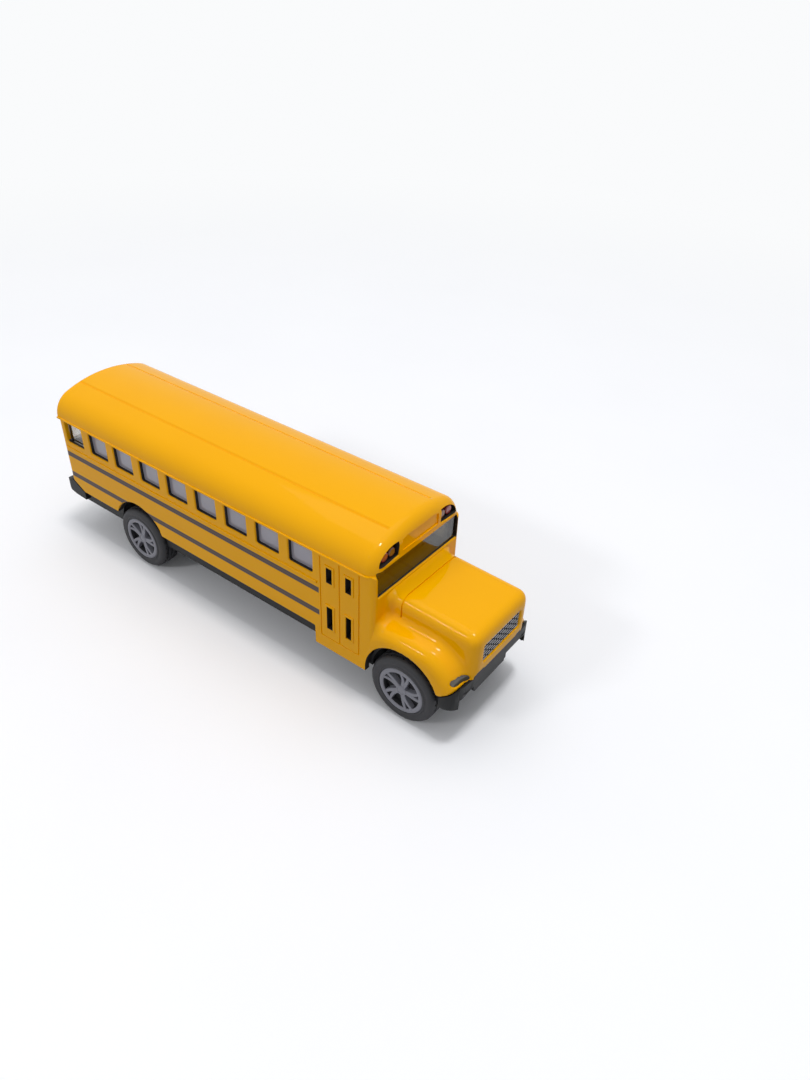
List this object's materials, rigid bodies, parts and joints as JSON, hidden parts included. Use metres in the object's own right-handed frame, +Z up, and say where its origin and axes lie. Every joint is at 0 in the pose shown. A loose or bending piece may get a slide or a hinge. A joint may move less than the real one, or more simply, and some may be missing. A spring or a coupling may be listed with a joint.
{
  "type": "toy bus",
  "caption": "Die-cast style toy school bus with an arched roof, clear glazing, black base and bumpers, and wheels that roll on axles driven by a wind-back motor.",
  "frame": {"origin": "on the floor, under the middle of the bus's length and width", "axes": "+X is the front, +Y is the left side, +Z is up"},
  "size_m": [0.131, 0.0318, 0.043],
  "materials": {
    "yellow_paint": "gloss yellow paint on a zinc casting",
    "clear_glazing": "clear, lightly smoked moulded plastic",
    "silver_trim": "silver printed bars on black",
    "lamp_lens": "grey moulded lens",
    "red_lens": "red moulded lens",
    "amber_lens": "dark amber moulded lens",
    "black_plastic": "black moulded plastic",
    "steel": "bright drawn steel",
    "grey_rim": "grey moulded plastic",
    "tyre": "black soft plastic",
    "motor_plastic": "dark moulded plastic",
    "gear_plastic": "natural white moulded plastic"
  },
  "bodies": {
    "bus": {"body_shell": "yellow_paint", "glazing_insert": "clear_glazing", "grille_insert": "silver_trim", "headlamp_lenses": "lamp_lens", "red_warning_lamps": "red_lens", "amber_warning_lamps": "amber_lens", "tail_lamps": "red_lens", "chassis_base": "black_plastic", "chassis_screws": "steel", "motor_case_left": "motor_plastic", "motor_case_right": "motor_plastic", "gear_pins": "steel", "mainspring": "steel"},
    "front_wheels": {"front_axle": "steel", "front_left_rim": "grey_rim", "front_right_rim": "grey_rim", "front_left_tyre": "tyre", "front_right_tyre": "tyre"},
    "rear_wheels": {"rear_axle": "steel", "axle_gear": "gear_plastic", "rear_left_rim": "grey_rim", "rear_right_rim": "grey_rim", "rear_left_tyre": "tyre", "rear_right_tyre": "tyre"},
    "idler": {"idler_gear": "gear_plastic"},
    "spring_drive": {"spring_gear": "gear_plastic"}
  },
  "joints": [
    {"name": "front_axle_spin", "type": "hinge", "parent": "bus", "child": "front_wheels", "pos_m": [0.0508, 0, 0.0084], "axis": [0, 1, 0], "continuous": true},
    {"name": "rear_axle_spin", "type": "hinge", "parent": "bus", "child": "rear_wheels", "pos_m": [-0.0347, 0, 0.0084], "axis": [0, 1, 0], "continuous": true},
    {"name": "idler_spin", "type": "hinge", "parent": "bus", "child": "idler", "pos_m": [-0.02786, 0, 0.01159], "axis": [0, 1, 0], "continuous": true},
    {"name": "spring_gear_spin", "type": "hinge", "parent": "bus", "child": "spring_drive", "pos_m": [-0.02031, 0, 0.01159], "axis": [0, 1, 0], "continuous": true}
  ],
  "couplings": [
    {"joint": "idler_spin", "follows": "rear_axle_spin", "ratio": -0.5},
    {"joint": "spring_gear_spin", "follows": "rear_axle_spin", "ratio": 0.25}
  ]
}
